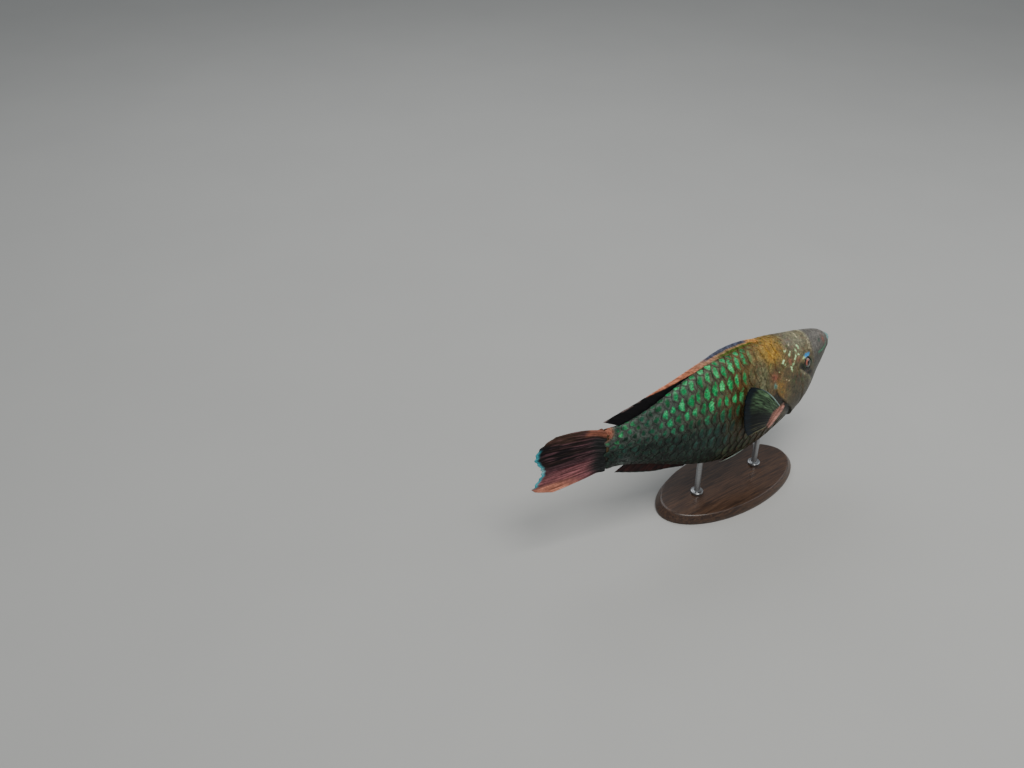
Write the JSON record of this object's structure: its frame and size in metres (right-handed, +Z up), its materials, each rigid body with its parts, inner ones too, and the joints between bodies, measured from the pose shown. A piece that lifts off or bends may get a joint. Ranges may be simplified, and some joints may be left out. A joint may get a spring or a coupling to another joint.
{
  "type": "parrotfish display model on a stand",
  "caption": "Life-size still model of a large green and orange parrotfish, swimming level with its tail swung to one side, on two short rods and a flat oval base.",
  "frame": {"origin": "middle of the flat underside of the stand's base", "axes": "+X ahead of the fish, +Y its left side, +Z up"},
  "size_m": [0.6228, 0.15, 0.3075],
  "materials": {
    "head_skin": "satin varnish over painted skin, dull brown-orange",
    "cheek_skin": "satin varnish over painted skin, orange-brown",
    "body_skin": "satin varnish over painted scales, green with brown rims",
    "beak": "glossy blue-green tooth plate",
    "eye": "clear gloss over a reddish iris",
    "dorsal_fin": "satin, orange in front and dark behind",
    "anal_fin": "satin, dark",
    "caudal_fin": "satin, red-brown and pink with a blue-green rear margin",
    "pectoral_fin": "satin, dark green with a pale green leading edge",
    "pelvic_fin": "satin, brown-orange",
    "base_wood": "dark hardwood, satin varnish",
    "rod_steel": "brushed"
  },
  "bodies": {
    "root": {"head": "head_skin", "gill_cover_right": "cheek_skin", "gill_cover_left": "cheek_skin", "upper_beak": "beak", "lower_beak": "beak", "eye_right": "eye", "eye_left": "eye", "trunk": "body_skin", "tail": "body_skin", "dorsal_fin": "dorsal_fin", "anal_fin": "anal_fin", "caudal_fin": "caudal_fin", "pectoral_fin_right": "pectoral_fin", "pectoral_fin_left": "pectoral_fin", "pelvic_fin_right": "pelvic_fin", "pelvic_fin_left": "pelvic_fin", "stand_base": "base_wood", "stand_rod_front": "rod_steel", "stand_rod_rear": "rod_steel"}
  },
  "joints": []
}
